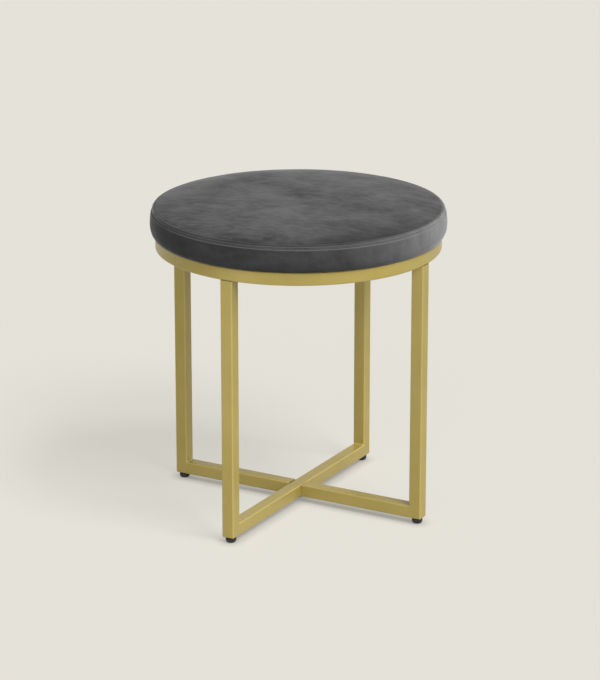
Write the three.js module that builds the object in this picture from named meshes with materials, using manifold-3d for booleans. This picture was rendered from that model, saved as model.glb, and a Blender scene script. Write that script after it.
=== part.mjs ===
// Round vanity stool: a padded velvet seat on a rolled ring of square tube. Two U-shaped
// frames of the same tube cross under it in a half-lap and stand on four levelling feet.
// Millimetres, +Z up, origin on the floor under the middle of the seat. Seen from above,
// the front-left leg stands on -Y, back-right on +Y, back-left on -X and front-right on +X.
import * as THREE from 'three';
import { mergeVertices } from 'three/addons/utils/BufferGeometryUtils.js';
import Module from 'manifold-3d';

const wasm = await Module();
wasm.setup();

// Driving dimensions

// Square steel tube of the ring, the legs and the bars
const tubeWidth = 19;
const tubeWall = 1.2;
const tubeEdgeRadius = 2;

// Frame: the ring's outer radius, its underside above the floor, and the bars above the floor
const ringRadius = 208.5;
const ringUnderside = 394.5;
const barUnderside = 8.5;

// Seat board of plywood: how far it stands out past the ring, its thickness and lower edge,
// and the cloth under it
const boardOverhang = 2;
const boardThickness = 12;
const boardEdgeRadius = 3;
const dustCoverThickness = 0.6;
const dustCoverMargin = 2.5;

// Seat padding: how far the cover's foot tucks in under the board's edge, how far the side
// bulges out past the board, and how far each seam lies inside the line below it
const footTuck = 1;
const sideBulge = 5.3;
const lowSeamInset = 2.4;
const shoulderSpread = 5;

// Heights above the seat's underside of its widest place and the lower seam, and the rises
// from there to the upper seam and from that to the crown
const widestHeight = 18;
const lowSeamHeight = 35.7;
const shoulderRise = 5.1;
const crownRise = 6.4;
const crownPower = 7;
const coverThickness = 1.2;
const hemWidth = 25;
const shoulderRoll = 1.1;

// Fits: pieces that touch are this far apart, threads and bolts lie this far from their
// bores, and cuts run past the face that they open by the overrun
const restGap = 0.3;
const boreGap = 0.3;
const cutOverrun = 1;

// Half-lap where the bars cross: the play on the side away from the front-right leg
const lapPlay = 1.5;

// Bolts and their thread radius
const threadRadius = 3;
const socketAcrossFlats = 4;
const socketDepth = 2;
const threadTipChamfer = 0.6;
const headEdgeChamfer = 0.5;
const capHeadRadius = 5;
const capHeadHeight = 6;
const buttonHeadRadius = 5.4;
const buttonHeadHeight = 3.2;
const legBoltLength = 16;
const seatBoltLength = 16;
const crossScrewLength = 14;
const washerRadius = 6;
const washerThickness = 1.2;
const accessHoleRadius = 6.8;

// Threaded pieces that the bolts go into
const legPlugHeight = 14;
const legPlugEdgeRadius = 1;
const crossBossRadius = 7;
const crossBossBoreDepth = 12;
const teeNutFlangeRadius = 9.5;
const teeNutFlangeThickness = 1.2;
const teeNutBarrelRadius = 4.2;
const teeNutBarrelLength = 9;

// Lugs inside the ring that the seat is bolted to, with their holes this far in from it
const lugReach = 19.5;
const lugEndRadius = 12;
const lugThickness = 3;

// Levelling feet: the moulded pad, its stud and the threaded insert in the bar
const insertFlangeRadius = 6.2;
const insertFlangeThickness = 0.8;
const insertBarrelRadius = 4.5;
const insertBarrelLength = 11;
const padRadius = 7.7;
const padSoleRadius = 4;
const padRoundHeight = 4;
const padTopChamfer = 0.5;
const padSocketDepth = 4.5;
const studLength = 16;

// Facets round a full turn
const ringFacets = 64;
const seatFacets = 48;
const boltFacets = 12;
const padFacets = 16;
const holeFacets = 12;
const socketSides = 6;

// Facets of one rounded edge
const edgeFacets = 2;
const hollowEdgeFacets = 1;
const padEdgeFacets = 3;
const lugEndFacets = 8;

// Places worked out from the dimensions above
const ringInnerRadius = ringRadius - tubeWidth;
const ringTop = ringUnderside + tubeWidth;
const legCentreRadius = ringRadius - tubeWidth / 2;
const legTop = ringUnderside - restGap;
const barTop = barUnderside + tubeWidth;
const hemUnderside = ringTop + restGap;
const hemTop = hemUnderside + coverThickness;
const boardRadius = ringRadius + boardOverhang;
const seatFootRadius = boardRadius - footTuck;
const seatRadius = boardRadius + sideBulge;
const lowSeamRadius = seatRadius - lowSeamInset;
const highSeamRadius = lowSeamRadius - shoulderSpread;
const highSeamHeight = lowSeamHeight + shoulderRise;
const hemInnerRadius = seatFootRadius - hemWidth;
const boardUnderside = hemTop + restGap;
const boardTop = boardUnderside + boardThickness;
const dustCoverTop = hemUnderside - restGap;
const dustCoverUnderside = dustCoverTop - dustCoverThickness;
const dustCoverRadius = ringInnerRadius - dustCoverMargin;
const lugTop = dustCoverUnderside - restGap;
const lugUnderside = lugTop - lugThickness;
const lugHoleRadius = ringInnerRadius - lugReach;
const boreRadius = threadRadius + boreGap;

const group = new THREE.Group();

// Finishes
const brassPaint = { color: '#b09a5c', roughness: 0.42, metalness: 0.85 };
const darkVelvet = { color: '#5b5b5c', roughness: 0.95, metalness: 0 };
const birchPly = { color: '#c9a877', roughness: 0.75, metalness: 0 };
const paleFoam = { color: '#e8dfc4', roughness: 1, metalness: 0 };
const blackCloth = { color: '#1c1c1d', roughness: 0.95, metalness: 0 };
const zincSteel = { color: '#b9bcc0', roughness: 0.35, metalness: 0.9 };
const blackPlastic = { color: '#1d1d1e', roughness: 0.5, metalness: 0 };

function addPiece(parent, name, geometry, finish) {
  const mesh = new THREE.Mesh(geometry, new THREE.MeshStandardMaterial(finish));
  mesh.name = name;
  parent.add(mesh);
  return mesh;
}

// Closed solids from three.js geometry, for cutting and joining
function solidOf(geometry) {
  const plain = geometry.clone();
  plain.deleteAttribute('normal');
  plain.deleteAttribute('uv');
  const merged = mergeVertices(plain);
  const corners = merged.index.array;
  const kept = [];
  for (let i = 0; i < corners.length; i += 3) {
    const [a, b, c] = [corners[i], corners[i + 1], corners[i + 2]];
    if (a !== b && b !== c && c !== a) kept.push(a, b, c);
  }
  return new wasm.Manifold(new wasm.Mesh({
    numProp: 3,
    vertProperties: new Float32Array(merged.attributes.position.array),
    triVerts: new Uint32Array(kept),
  }));
}

function geometryOf(solid) {
  const mesh = solid.getMesh();
  const geometry = new THREE.BufferGeometry();
  geometry.setAttribute('position', new THREE.BufferAttribute(mesh.vertProperties, 3));
  geometry.setIndex(new THREE.BufferAttribute(mesh.triVerts, 1));
  geometry.computeVertexNormals();
  return geometry;
}

function cut(blank, cutters) {
  return geometryOf(cutters.reduce((left, cutter) => left.subtract(solidOf(cutter)), solidOf(blank)));
}

// A profile of [radius, height] points turned about the Z axis
function turned(points, facets) {
  const profile = points.map(([radius, height]) => new THREE.Vector2(radius, height));
  return new THREE.LatheGeometry(profile, facets).rotateX(Math.PI / 2);
}

// The same for a profile that closes on itself, such as a washer's section
function turnedRing(points, facets) {
  return turned([...points, points[0]], facets);
}

function rod(radius, low, high, facets) {
  return turned([[0, low], [radius, low], [radius, high], [0, high]], facets);
}

// Points on a round or oval arc, from one angle to another in radians
function arc([centreAlong, centreUp], [spanAlong, spanUp], from, to, facets) {
  const points = [];
  for (let i = 0; i <= facets; i += 1) {
    const angle = from + (to - from) * (i / facets);
    points.push([centreAlong + spanAlong * Math.cos(angle), centreUp + spanUp * Math.sin(angle)]);
  }
  return points;
}

// A square with rounded corners, centred on the origin of its plane
function roundedSquare(width, cornerRadius, cornerFacets) {
  const centre = width / 2 - cornerRadius;
  const span = [cornerRadius, cornerRadius];
  return [0, 1, 2, 3].flatMap((quarter) => {
    const from = quarter * (Math.PI / 2);
    const along = quarter === 0 || quarter === 3 ? centre : -centre;
    const up = quarter < 2 ? centre : -centre;
    return arc([along, up], span, from, from + Math.PI / 2, cornerFacets);
  });
}

function outline(points) {
  return points.map(([along, up]) => new THREE.Vector2(along, up));
}

function extruded(shape, length) {
  return new THREE.ExtrudeGeometry(shape, { depth: length, bevelEnabled: false });
}

// Sections of the tube and of its hollow
const tubeSection = roundedSquare(tubeWidth, tubeEdgeRadius, edgeFacets);
const hollowSection = roundedSquare(tubeWidth - 2 * tubeWall, tubeEdgeRadius - tubeWall, hollowEdgeFacets);

// Hollow square tube standing on the origin
function tube(length) {
  const section = new THREE.Shape(outline(tubeSection));
  section.holes.push(new THREE.Path(outline(hollowSection)));
  return extruded(section, length);
}

// A prism across the tube, from [along the bar, height] points
function prismAcross(points, width) {
  return extruded(new THREE.Shape(outline(points)), width).rotateX(Math.PI / 2).translate(0, width / 2, 0);
}

// U-shaped frames: two legs and a bar, mitred at the feet and welded. A frame is drawn along
// its own X axis, with its bar's ends under the legs.

// Height of the mitre's plane, which falls from the bar's inner top edge to its outer bottom
function mitreHeight(along) {
  return barUnderside + ringRadius - along;
}

// The weld closes this gap between leg and bar
const mitreGap = restGap * Math.SQRT2;

function legGeometry() {
  const outer = ringRadius + cutOverrun;
  const inner = ringInnerRadius - cutOverrun;
  const blank = tube(legTop - barUnderside).translate(legCentreRadius, 0, barUnderside);
  const corner = [
    [inner, mitreHeight(outer)],
    [outer, mitreHeight(outer) + mitreGap],
    [inner, mitreHeight(inner) + mitreGap],
  ];
  return cut(blank, [prismAcross(corner, tubeWidth + 2 * cutOverrun)]);
}

function barBlank() {
  return tube(2 * ringRadius).rotateY(Math.PI / 2).translate(-ringRadius, 0, barUnderside + tubeWidth / 2);
}

function barEndCutters() {
  const outer = ringRadius + cutOverrun;
  const inner = ringInnerRadius - cutOverrun;
  const corner = [
    [inner, mitreHeight(inner)],
    [outer, mitreHeight(outer)],
    [outer, mitreHeight(inner)],
  ];
  const mitre = prismAcross(corner, tubeWidth + 2 * cutOverrun);
  const hole = rod(
    insertBarrelRadius + boreGap,
    barUnderside - cutOverrun,
    barUnderside + tubeWall + cutOverrun,
    boltFacets,
  ).translate(legCentreRadius, 0, 0);
  return [mitre, hole, mitre.clone().rotateZ(Math.PI), hole.clone().rotateZ(Math.PI)];
}

// Half-lap: each bar gives up one half of its height where the other passes
const lapHeight = barUnderside + tubeWidth / 2;

function lapCutter(low, high, start, end) {
  const sides = [[start, low], [end, low], [end, high], [start, high]];
  return prismAcross(sides, tubeWidth + 2 * cutOverrun);
}

// The through bar runs whole on top, so its notch is underneath
function throughBarGeometry() {
  const side = tubeWidth / 2 + restGap;
  const notch = lapCutter(barUnderside - cutOverrun, lapHeight + restGap / 2, -side, side);
  return cut(barBlank(), [...barEndCutters(), notch]);
}

// The lapped bar is notched on top, with play on its back-left side, and drilled for the screw
function lappedBarGeometry() {
  const side = tubeWidth / 2;
  const notch = lapCutter(lapHeight - restGap / 2, barTop + cutOverrun, -side - lapPlay, side + restGap);
  const screwHole = rod(
    boreRadius, barUnderside - cutOverrun, barUnderside + tubeWall + cutOverrun, holeFacets);
  return cut(barBlank(), [...barEndCutters(), notch, screwHole]);
}

// Bolts and washers

// A bolt with its head's bearing face at height zero and its thread below
function boltGeometry(headRadius, headHeight, edge, length) {
  const blank = turned([
    [0, -length],
    [threadRadius - threadTipChamfer, -length],
    [threadRadius, threadTipChamfer - length],
    [threadRadius, 0],
    [headRadius, 0],
    [headRadius, headHeight - edge],
    [headRadius - edge, headHeight],
    [0, headHeight],
  ], boltFacets);
  const socketRadius = socketAcrossFlats / Math.sqrt(3);
  const socket = rod(socketRadius, headHeight - socketDepth, headHeight + cutOverrun, socketSides);
  return cut(blank, [socket]);
}

function capBolt(length) {
  return boltGeometry(capHeadRadius, capHeadHeight, headEdgeChamfer, length);
}

// A low domed head: its edge falls away over half of its height
function buttonBolt(length) {
  return boltGeometry(buttonHeadRadius, buttonHeadHeight, buttonHeadHeight / 2, length);
}

function washerGeometry() {
  return turnedRing([
    [boreRadius, 0],
    [washerRadius, 0],
    [washerRadius, washerThickness],
    [boreRadius, washerThickness],
  ], boltFacets);
}

// A flanged threaded bush: flange from height zero down, barrel from height zero up
function bushGeometry(flangeRadius, flangeThickness, barrelRadius, barrelLength) {
  return turnedRing([
    [boreRadius, -flangeThickness],
    [flangeRadius, -flangeThickness],
    [flangeRadius, 0],
    [barrelRadius, 0],
    [barrelRadius, barrelLength],
    [boreRadius, barrelLength],
  ], boltFacets);
}

// Leg parts: the plug welded in the leg's mouth, and the bolt that pulls the ring down on it

function legPlugGeometry() {
  const width = tubeWidth - 2 * tubeWall - 2 * restGap;
  const section = roundedSquare(width, legPlugEdgeRadius, hollowEdgeFacets);
  const blank = extruded(new THREE.Shape(outline(section)), legPlugHeight).translate(0, 0, -legPlugHeight);
  return cut(blank, [rod(boreRadius, -legPlugHeight - cutOverrun, cutOverrun, boltFacets)]);
}

const ringFloor = ringUnderside + tubeWall;
const legWasherUnderside = ringFloor + restGap;
const legBoltSeat = legWasherUnderside + washerThickness + restGap;

// Levelling foot: a moulded pad with its stud held in a socket

const insertFlangeTop = barUnderside - restGap;
const padTop = insertFlangeTop - insertFlangeThickness - restGap;
const studFoot = padTop - padSocketDepth + restGap;

function padGeometry() {
  const centre = [padSoleRadius, padRoundHeight];
  const span = [padRadius - padSoleRadius, padRoundHeight];
  const rounding = arc(centre, span, -Math.PI / 2, 0, padEdgeFacets);
  const socketFloor = padTop - padSocketDepth;
  return turned([
    [0, 0],
    ...rounding,
    [padRadius, padTop - padTopChamfer],
    [padRadius - padTopChamfer, padTop],
    [boreRadius, padTop],
    [boreRadius, socketFloor],
    [0, socketFloor],
  ], padFacets);
}

function studGeometry() {
  return turned([
    [0, studFoot],
    [threadRadius, studFoot],
    [threadRadius, studFoot + studLength - threadTipChamfer],
    [threadRadius - threadTipChamfer, studFoot + studLength],
    [0, studFoot + studLength],
  ], boltFacets);
}

// One corner of a frame: leg, plug, bolt, washer, insert and foot, at the end of its bar
function addCorner(frame, place, direction) {
  const corner = new THREE.Group();
  corner.rotation.z = direction;
  frame.add(corner);
  addPiece(corner, `leg_${place}`, legGeometry(), brassPaint);
  const column = new THREE.Group();
  column.position.x = legCentreRadius;
  corner.add(column);
  addPiece(column, `leg_plug_${place}`, legPlugGeometry(), zincSteel).position.z = legTop;
  addPiece(column, `leg_washer_${place}`, washerGeometry(), zincSteel).position.z = legWasherUnderside;
  addPiece(column, `leg_bolt_${place}`, capBolt(legBoltLength), zincSteel).position.z = legBoltSeat;
  const insert = bushGeometry(
    insertFlangeRadius, insertFlangeThickness, insertBarrelRadius, insertBarrelLength);
  addPiece(column, `foot_insert_${place}`, insert, zincSteel).position.z = insertFlangeTop;
  addPiece(column, `foot_pad_${place}`, padGeometry(), blackPlastic);
  addPiece(column, `foot_stud_${place}`, studGeometry(), zincSteel);
}

const throughFrame = new THREE.Group();
throughFrame.rotation.z = Math.PI / 2;
group.add(throughFrame);
addPiece(throughFrame, 'through_bar', throughBarGeometry(), brassPaint);
addCorner(throughFrame, 'back_right', 0);
addCorner(throughFrame, 'front_left', Math.PI);

const lappedFrame = new THREE.Group();
group.add(lappedFrame);
addPiece(lappedFrame, 'lapped_bar', lappedBarGeometry(), brassPaint);
addCorner(lappedFrame, 'front_right', 0);
addCorner(lappedFrame, 'back_left', Math.PI);

// Middle of the cross: a boss hangs from the through bar's top wall, and a screw with a washer
// comes up through the lapped bar's floor and draws the two bars together
const bossTop = barTop - tubeWall - restGap;
const bossUnderside = barUnderside + tubeWall + restGap;
const crossWasherTop = barUnderside - restGap;
const crossScrewSeat = crossWasherTop - washerThickness - restGap;

const crossBoss = turned([
  [0, bossUnderside + crossBossBoreDepth],
  [boreRadius, bossUnderside + crossBossBoreDepth],
  [boreRadius, bossUnderside],
  [crossBossRadius, bossUnderside],
  [crossBossRadius, bossTop],
  [0, bossTop],
], boltFacets);
addPiece(group, 'cross_boss', crossBoss, zincSteel);

const crossWasher = addPiece(group, 'cross_washer', washerGeometry(), zincSteel);
crossWasher.position.z = crossWasherTop - washerThickness;

const crossScrew = addPiece(group, 'cross_screw', buttonBolt(crossScrewLength), zincSteel);
crossScrew.rotation.x = Math.PI;
crossScrew.position.z = crossScrewSeat;

// Top ring: the tube rolled into a circle. Over each leg its floor is drilled for the bolt, and
// its top for the bolt's head to go in.

function rolled(section) {
  const height = ringUnderside + tubeWidth / 2;
  return turnedRing(section.map(([along, up]) => [legCentreRadius + along, height + up]), ringFacets);
}

function topRingGeometry() {
  const boltHole = rod(boreRadius, ringUnderside - cutOverrun, ringFloor + cutOverrun, boltFacets)
    .translate(legCentreRadius, 0, 0);
  const accessHole = rod(
    accessHoleRadius, ringTop - tubeWall - cutOverrun, ringTop + cutOverrun, boltFacets)
    .translate(legCentreRadius, 0, 0);
  const cutters = [rolled(hollowSection)];
  for (let quarter = 0; quarter < 4; quarter += 1) {
    const angle = quarter * (Math.PI / 2);
    cutters.push(boltHole.clone().rotateZ(angle), accessHole.clone().rotateZ(angle));
  }
  return cut(rolled(tubeSection), cutters);
}

addPiece(group, 'top_ring', topRingGeometry(), brassPaint);

// Seat fixings, halfway between the legs: a lug welded inside the ring, a washer and a bolt
// from below, and a tee nut let into the top of the seat board

function lugGeometry() {
  const weldRadius = ringInnerRadius - restGap;
  const spread = Math.asin(lugEndRadius / weldRadius);
  const weldEdge = arc([0, 0], [weldRadius, weldRadius], -spread, spread, edgeFacets);
  const roundEnd = arc(
    [lugHoleRadius, 0], [lugEndRadius, lugEndRadius], Math.PI / 2, Math.PI * 1.5, lugEndFacets);
  const blank = extruded(new THREE.Shape(outline([...weldEdge, ...roundEnd])), lugThickness);
  const hole = rod(boreRadius, -cutOverrun, lugThickness + cutOverrun, holeFacets);
  return cut(blank, [hole.translate(lugHoleRadius, 0, 0)]);
}

const seatWasherTop = lugUnderside - restGap;
const seatBoltSeat = seatWasherTop - washerThickness - restGap;
const teeNutSeat = boardTop - teeNutFlangeThickness - restGap;

const fixingPlaces = ['front', 'right', 'back', 'left'];
fixingPlaces.forEach((place, quarter) => {
  const station = new THREE.Group();
  station.rotation.z = (quarter - 0.5) * (Math.PI / 2);
  group.add(station);
  addPiece(station, `ring_lug_${place}`, lugGeometry(), brassPaint).position.z = lugUnderside;
  const column = new THREE.Group();
  column.position.x = lugHoleRadius;
  station.add(column);
  const washer = addPiece(column, `seat_washer_${place}`, washerGeometry(), zincSteel);
  washer.position.z = seatWasherTop - washerThickness;
  const bolt = addPiece(column, `seat_bolt_${place}`, buttonBolt(seatBoltLength), zincSteel);
  bolt.rotation.x = Math.PI;
  bolt.position.z = seatBoltSeat;
  const bush = bushGeometry(
    teeNutFlangeRadius, teeNutFlangeThickness, teeNutBarrelRadius, teeNutBarrelLength);
  const teeNut = addPiece(column, `tee_nut_${place}`, bush, zincSteel);
  teeNut.rotation.x = Math.PI;
  teeNut.position.z = teeNutSeat;
});

// Four copies of a cutter at the seat fixings
function atFixings(cutter) {
  return fixingPlaces.map((_, quarter) => cutter.clone()
    .translate(lugHoleRadius, 0, 0)
    .rotateZ((quarter - 0.5) * (Math.PI / 2)));
}

// Seat board: a plywood disc with its lower edge eased, drilled and counterbored for tee nuts

function boardGeometry() {
  const centre = [boardRadius - boardEdgeRadius, boardUnderside + boardEdgeRadius];
  const span = [boardEdgeRadius, boardEdgeRadius];
  const easing = arc(centre, span, -Math.PI / 2, 0, edgeFacets);
  const blank = turned([[0, boardUnderside], ...easing, [boardRadius, boardTop], [0, boardTop]], seatFacets);
  const barrelHole = rod(
    teeNutBarrelRadius + boreGap, boardUnderside - cutOverrun, boardTop + cutOverrun, holeFacets);
  const counterbore = rod(
    teeNutFlangeRadius + boreGap, teeNutSeat - restGap, boardTop + cutOverrun, holeFacets);
  return cut(blank, [...atFixings(barrelHole), ...atFixings(counterbore)]);
}

addPiece(group, 'seat_board', boardGeometry(), birchPly);

// Dust cover: thin black cloth stapled over the hem, open where the seat bolts go through

function dustCoverGeometry() {
  const blank = rod(dustCoverRadius, dustCoverUnderside, dustCoverTop, seatFacets);
  const hole = rod(
    boreRadius, dustCoverUnderside - cutOverrun, dustCoverTop + cutOverrun, holeFacets);
  return cut(blank, atFixings(hole));
}

addPiece(group, 'dust_cover', dustCoverGeometry(), blackCloth);

// Seat padding and its velvet cover. Heights here are above the seat's underside.

// Side band from its foot on the ring, out to its widest place and back in to the low seam
function sidePoint(share) {
  const footSpread = seatRadius - seatFootRadius;
  if (share < 0.5) {
    const turn = share * Math.PI;
    return [
      seatFootRadius + footSpread * Math.sin(turn),
      widestHeight * (1 - Math.cos(turn)),
    ];
  }
  const rise = 2 * share - 1;
  return [
    seatRadius - (seatRadius - lowSeamRadius) * rise * rise,
    widestHeight + (lowSeamHeight - widestHeight) * rise,
  ];
}

// Shoulder between the two seams: a strip that rolls over the edge of the foam
function shoulderPoint(share) {
  const bulge = shoulderRoll * Math.sin(share * Math.PI);
  return [
    lowSeamRadius + (highSeamRadius - lowSeamRadius) * share + bulge,
    lowSeamHeight + (highSeamHeight - lowSeamHeight) * share + bulge,
  ];
}

// Crowned top from the high seam in to the middle
function crownPoint(share) {
  const radius = highSeamRadius * (1 - share);
  return [radius, highSeamHeight + crownRise * (1 - (1 - share) ** crownPower)];
}

function pointsAlong(curve, shares) {
  return shares.map((share) => {
    const [radius, height] = curve(share);
    return [radius, hemUnderside + height];
  });
}

// A line of profile points moved to its left, as seen when walking along it
function movedInward(points, distance) {
  return points.map(([radius, height], i) => {
    const [backRadius, backHeight] = points[Math.max(i - 1, 0)];
    const [aheadRadius, aheadHeight] = points[Math.min(i + 1, points.length - 1)];
    const along = new THREE.Vector2(aheadRadius - backRadius, aheadHeight - backHeight).normalize();
    return [Math.max(radius - along.y * distance, 0), height + along.x * distance];
  });
}

// Cloth of the cover's thickness behind a line of profile points
function clothRing(points) {
  return turnedRing([...points, ...movedInward(points, coverThickness).reverse()], seatFacets);
}

// The side band is one piece with its hem, which is turned in under the seat board
const sideShares = [0.12, 0.25, 0.38, 0.5, 0.65, 0.8, 0.985];
const hem = [[hemInnerRadius, hemUnderside], [seatFootRadius, hemUnderside]];
addPiece(group, 'cover_side_band', clothRing([...hem, ...pointsAlong(sidePoint, sideShares)]), darkVelvet);

const shoulderShares = [0.04, 0.35, 0.65, 0.96];
addPiece(group, 'cover_shoulder', clothRing(pointsAlong(shoulderPoint, shoulderShares)), darkVelvet);

const crownShares = [0.002, 0.03, 0.07, 0.12, 0.2, 0.35, 0.6, 1];
function crownGeometry() {
  const outer = pointsAlong(crownPoint, crownShares);
  const inner = movedInward(outer, coverThickness).reverse();
  return turned([...inner, ...outer], seatFacets);
}
addPiece(group, 'cover_top_panel', crownGeometry(), darkVelvet);

// Foam: fills the cover from the seat board up, one rest gap behind the cloth
function foamGeometry() {
  const outside = [
    ...pointsAlong(sidePoint, [0.5, 0.7, 0.95]),
    ...pointsAlong(shoulderPoint, [0.35, 0.8]),
    ...pointsAlong(crownPoint, [0.03, 0.09, 0.2, 0.4, 1]),
  ];
  const skin = movedInward(outside, coverThickness + 2 * restGap);
  return turned([
    [0, boardTop + restGap],
    [boardRadius, boardTop + restGap],
    ...skin,
  ], seatFacets);
}
addPiece(group, 'foam_pad', foamGeometry(), paleFoam);

export default group;
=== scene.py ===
# Round vanity stool: a padded velvet seat on a rolled ring of square tube. Two U-shaped
# frames of the same tube cross under it in a half-lap and stand on four levelling feet.
import math

import bmesh
import bpy
from mathutils import Matrix, Vector, noise
from mathutils.kdtree import KDTree


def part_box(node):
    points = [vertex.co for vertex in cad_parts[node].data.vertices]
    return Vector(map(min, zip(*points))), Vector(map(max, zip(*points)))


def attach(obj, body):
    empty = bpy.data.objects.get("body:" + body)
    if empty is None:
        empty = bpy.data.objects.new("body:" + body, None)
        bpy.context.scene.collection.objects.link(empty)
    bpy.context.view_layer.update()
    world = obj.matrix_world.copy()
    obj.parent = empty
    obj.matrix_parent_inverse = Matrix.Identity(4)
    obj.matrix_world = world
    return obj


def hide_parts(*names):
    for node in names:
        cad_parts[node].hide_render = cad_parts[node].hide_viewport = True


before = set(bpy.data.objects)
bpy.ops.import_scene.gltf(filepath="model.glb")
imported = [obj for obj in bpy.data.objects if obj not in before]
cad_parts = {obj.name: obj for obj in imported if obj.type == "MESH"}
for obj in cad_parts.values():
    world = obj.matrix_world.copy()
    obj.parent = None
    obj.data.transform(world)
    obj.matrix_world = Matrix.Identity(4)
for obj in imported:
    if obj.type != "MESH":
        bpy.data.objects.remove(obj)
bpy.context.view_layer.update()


# Camera: a long lens, about 18 degrees above the horizon, from the front and a little right
def placed(data, name="work"):
    """A new object in the scene, at its origin: a piece to keep, or one to work on."""
    made = bpy.data.objects.new(name, data)
    bpy.context.scene.collection.objects.link(made)
    return made


camera = placed(bpy.data.cameras.new("camera"), "camera")
camera.data.lens = 159.97
camera.data.clip_end = 100
camera.location = (2.0698, -3.6911, 1.6023)
camera.rotation_euler = (math.radians(72.272), 0, math.radians(29.254))
bpy.context.scene.camera = camera
bpy.context.scene.view_settings.view_transform = "Standard"


# Studio: a plain pale floor that runs out of sight, a broad soft lamp high on the right, another
# beside the camera, weak low ones from both sides, and soft boxes before and behind it for the
# object alone.
paper_hex = "e2dfd6"
floor_reach = 15
floor_bounce = 0.35
shadow_softening = 0.75
closeness = 0.018
glow_least = 0.3
lamps = {"key": (-2, 58, 14, 1.4), "front": (-25, 45, 20, 1.75),
         "low_right": (25, 15, 20, 0.55), "low_front": (-80, 8, 20, 0.25)}
soft_boxes = ((-55, 15, 10, 2.0), (150, 20, 6, 0.35))
fill_least = 0.02
card_place, card_size, card_strength, card_aim = (-0.15, -0.62, 0.06), 0.5, 0.4, 0.15


def linear(hex_colour):
    """An sRGB hex colour as the linear values that a shader socket takes."""
    parts = [int(hex_colour[i:i + 2], 16) / 255 for i in (0, 2, 4)]
    return (*(p / 12.92 if p <= 0.04045 else ((p + 0.055) / 1.055) ** 2.4 for p in parts), 1)


def add_node(tree, kind, given=None):
    """Adds one node of a kind, in a mode that may follow its name. It is given settings, values
    for its sockets, of which a text is a hex colour, and what feeds them: outputs, or nodes that
    stand for their first output in use."""
    kind, _, mode = kind.partition(" ")
    made = tree.nodes.new(kind if "Node" in kind else f"ShaderNode{kind}")
    if mode:
        setattr(made, "data_type" if kind == "Mix" else "operation", mode)
    for name, value in (given or {}).items():
        for source in value if isinstance(value, list) else [value]:
            if isinstance(source, bpy.types.Node):
                source = next(output for output in source.outputs if output.enabled)
            if isinstance(source, bpy.types.NodeSocket):
                tree.links.new(source, made.inputs[name])
            elif isinstance(name, int) or name in made.inputs:
                made.inputs[name].default_value = (
                    linear(source) if isinstance(source, str) else source)
            else:
                setattr(made, name, source)
    return made


def seen_directly(tree):
    """1 for rays that show a surface to the camera, in a reflection or through glass."""
    path = add_node(tree, "LightPath")
    either = add_node(
        tree, "Math MAXIMUM", {0: path.outputs["Is Camera Ray"], 1: path.outputs["Is Glossy Ray"]})
    return add_node(tree, "Math MAXIMUM", {0: either, 1: path.outputs["Is Transmission Ray"]})


def emptied(owner):
    """The node tree of a material or world, with nothing in it yet."""
    owner.use_nodes = True
    owner.node_tree.nodes.clear()
    return owner.node_tree


# Seamless paper: matt, so it has no gloss. Seen directly it is mostly self-lit, which keeps the
# shadow as faint as the photograph's. That glow stands for light from all round, so it fades
# where a bar or a foot is close. From below the paper isn't there.
seamless_paper = bpy.data.materials.new("seamless_paper")
tree = emptied(seamless_paper)
lit = add_node(tree, "BsdfDiffuse", {"Color": paper_hex})
open_sky = add_node(tree, "AmbientOcclusion", {"samples": 8, "Distance": closeness})
glow = add_node(tree, "MapRange", {"To Min": glow_least, "Value": open_sky.outputs["AO"]})
plain = add_node(tree, "Emission", {"Color": paper_hex, "Strength": glow})
shown = add_node(tree, "MixShader", {0: shadow_softening, 1: lit, 2: plain})
dull = add_node(tree, "BsdfDiffuse", {"Color": (*[floor_bounce] * 3, 1)})
top = add_node(tree, "MixShader", {0: seen_directly(tree), 1: dull, 2: shown})
below = add_node(tree, "BsdfTransparent")
side = add_node(tree, "NewGeometry")
paper = add_node(tree, "MixShader", {0: side.outputs["Backfacing"], 1: top, 2: below})
add_node(tree, "OutputMaterial", {"Surface": paper})

floor_mesh = bpy.data.meshes.new("floor")
corners = [(x * floor_reach, y * floor_reach, 0) for x, y in ((-1, -1), (1, -1), (1, 1), (-1, 1))]
floor_mesh.from_pydata(corners, [], [(0, 1, 2, 3)])
floor_mesh.materials.append(seamless_paper)
floor = placed(floor_mesh, "floor")


def from_side(turn, height):
    """The direction of a place so many degrees round the stool and above its floor."""
    turn, height = math.radians(turn), math.radians(height)
    return Vector((math.cos(turn) * math.cos(height), math.sin(turn) * math.cos(height),
                   math.sin(height)))


# Soft boxes that fade into their surroundings, for the object alone. Each has its turn and height
# in degrees, how tightly it is gathered, and its strength.
world = bpy.data.worlds.new("studio")
tree = emptied(world)
direction = add_node(tree, "TexCoord").outputs["Generated"]
fill = add_node(tree, "Value")
fill.outputs[0].default_value = fill_least
for turn, height, tightness, strength in soft_boxes:
    facing = add_node(tree, "VectorMath DOT_PRODUCT", {0: direction, 1: from_side(turn, height)})
    toward = add_node(tree, "MapRange", {"From Min": -1, "Value": facing})
    gathered = add_node(tree, "Math POWER", {0: toward, 1: tightness})
    fill = add_node(tree, "Math MULTIPLY_ADD", {0: gathered, 1: strength, 2: fill})
studio_light = add_node(tree, "Background", {"Color": (1, 1, 1, 1), "Strength": fill})
plain = add_node(tree, "Background", {"Color": paper_hex})
sky = add_node(tree, "MixShader", {0: seen_directly(tree), 1: studio_light, 2: plain})
add_node(tree, "OutputWorld", {"Surface": sky})
bpy.context.scene.world = world

# Lamps: each has its turn and height in degrees, how wide it looks, and its strength
for name, (turn, height, spread, strength) in lamps.items():
    lamp = placed(bpy.data.lights.new(name, "SUN"), name)
    lamp.data.energy = strength
    lamp.data.angle = math.radians(spread)
    lamp.rotation_euler = (0, math.radians(90 - height), math.radians(turn))

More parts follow.
